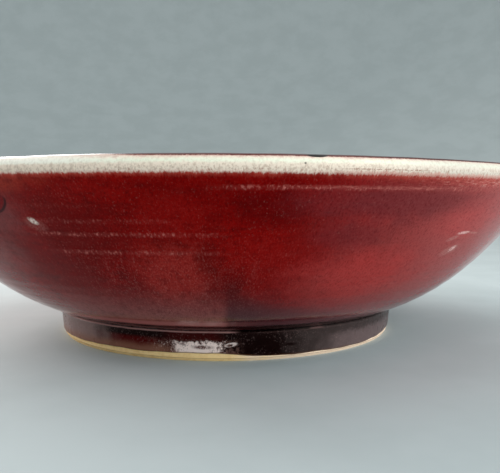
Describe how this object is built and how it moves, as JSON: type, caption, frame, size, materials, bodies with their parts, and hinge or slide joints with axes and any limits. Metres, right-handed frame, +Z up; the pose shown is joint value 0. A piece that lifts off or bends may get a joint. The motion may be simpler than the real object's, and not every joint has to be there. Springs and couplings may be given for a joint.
{
  "type": "studio pottery bowl",
  "caption": "Wide shallow stoneware bowl with a copper-red glaze, a pale rounded lip, a turned foot ring and a bare clay edge to stand on.",
  "frame": {"origin": "on the table, at the centre of the foot ring", "axes": "+Z up along the bowl's axis; X and Y are alike, because the bowl is round"},
  "size_m": [0.236, 0.236, 0.06],
  "materials": {
    "bare_clay": "fired stoneware, bare and slightly gritty",
    "red_glaze": "glossy copper red, finely speckled",
    "pale_glaze": "glossy cream, with feathered lower edge",
    "lining_glaze": "glossy copper red, streaked below the lip",
    "dark_glaze": "thick glossy glaze, nearly black",
    "well_glaze": "thin satin glaze, red brown"
  },
  "bodies": {
    "root": {"clay_body": "bare_clay", "outer_glaze": "red_glaze", "rim_glaze": "pale_glaze", "inner_glaze": "lining_glaze", "foot_glaze": "dark_glaze", "well_glaze": "well_glaze"}
  },
  "joints": []
}
